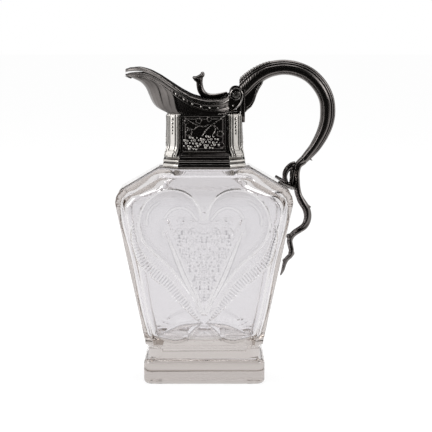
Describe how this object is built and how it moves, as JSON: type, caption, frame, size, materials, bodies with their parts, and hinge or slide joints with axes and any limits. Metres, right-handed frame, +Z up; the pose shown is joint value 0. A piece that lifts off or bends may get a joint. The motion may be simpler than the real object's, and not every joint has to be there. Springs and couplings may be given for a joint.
{
  "type": "claret jug",
  "caption": "Cut-glass claret jug: bevelled slab body on a square foot, chased metal neck mount with beak spout, hinged lid with thumbpiece, and a branch-shaped handle.",
  "frame": {"origin": "centre of the foot's underside", "axes": "+Z up, +X from the spout towards the handle, +Y away from the face seen in the picture"},
  "size_m": [0.1853, 0.082, 0.2686],
  "materials": {
    "cut_glass": "clear, cut and polished",
    "silver": "cast and chased, darkened in the recesses",
    "plaster": "matt"
  },
  "bodies": {
    "root": {"glass_body": "cut_glass", "neck_plaster": "plaster", "base_collar": "silver", "neck_sleeve": "silver", "pilaster_front_right": "silver", "pilaster_rear_right": "silver", "pilaster_rear_left": "silver", "pilaster_front_left": "silver", "vine_panel_front": "silver", "vine_panel_handle_side": "silver", "vine_panel_back": "silver", "vine_panel_spout_side": "silver", "spout_throat": "silver", "rim_band": "silver", "hinge_scroll_near": "silver", "hinge_scroll_far": "silver", "hinge_frame": "silver", "hinge_pin": "silver", "handle_back_plate": "silver", "handle_bow": "silver", "handle_root_leaf": "silver", "crest_row_near": "silver", "crest_row_far": "silver", "handle_tail": "silver", "handle_tendril": "silver", "shoulder_leaf_near": "silver", "shoulder_leaf_far": "silver"},
    "lid": {"lid": "silver", "lid_knuckle": "silver", "thumbpiece": "silver"}
  },
  "joints": [
    {"name": "lid_hinge", "type": "hinge", "parent": "root", "child": "lid", "pos_m": [0.0264, 0, 0.2401], "axis": [0, 1, 0], "range_deg": [0, 90]}
  ]
}
